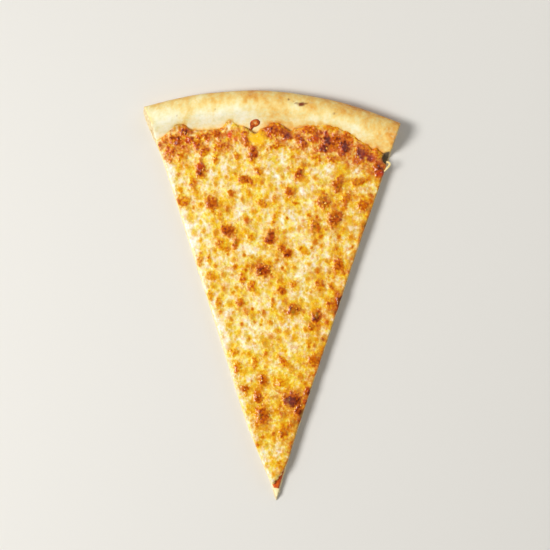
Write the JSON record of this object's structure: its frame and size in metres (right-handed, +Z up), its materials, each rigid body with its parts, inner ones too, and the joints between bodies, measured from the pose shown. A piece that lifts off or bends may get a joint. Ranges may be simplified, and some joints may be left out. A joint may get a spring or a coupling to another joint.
{
  "type": "cheese pizza slice",
  "caption": "Long thin slice of cheese pizza with a pale raised rim, a thin layer of tomato sauce and blistered melted cheese.",
  "frame": {"origin": "centre of the slice's bounding box in plan, on the surface that it lies on", "axes": "+Z up out of the cheese, +Y from the tip towards the rim, +X to the right seen from above with the rim at the far side"},
  "size_m": [0.1434, 0.2288, 0.0143],
  "materials": {
    "baked_crust": "matte baked dough, cream on the inner slope and golden outside",
    "tomato_sauce": "moist",
    "melted_cheese": "melted, slightly oily, with brown blisters"
  },
  "bodies": {
    "root": {"crust": "baked_crust", "tomato_sauce": "tomato_sauce", "cheese": "melted_cheese"}
  },
  "joints": []
}
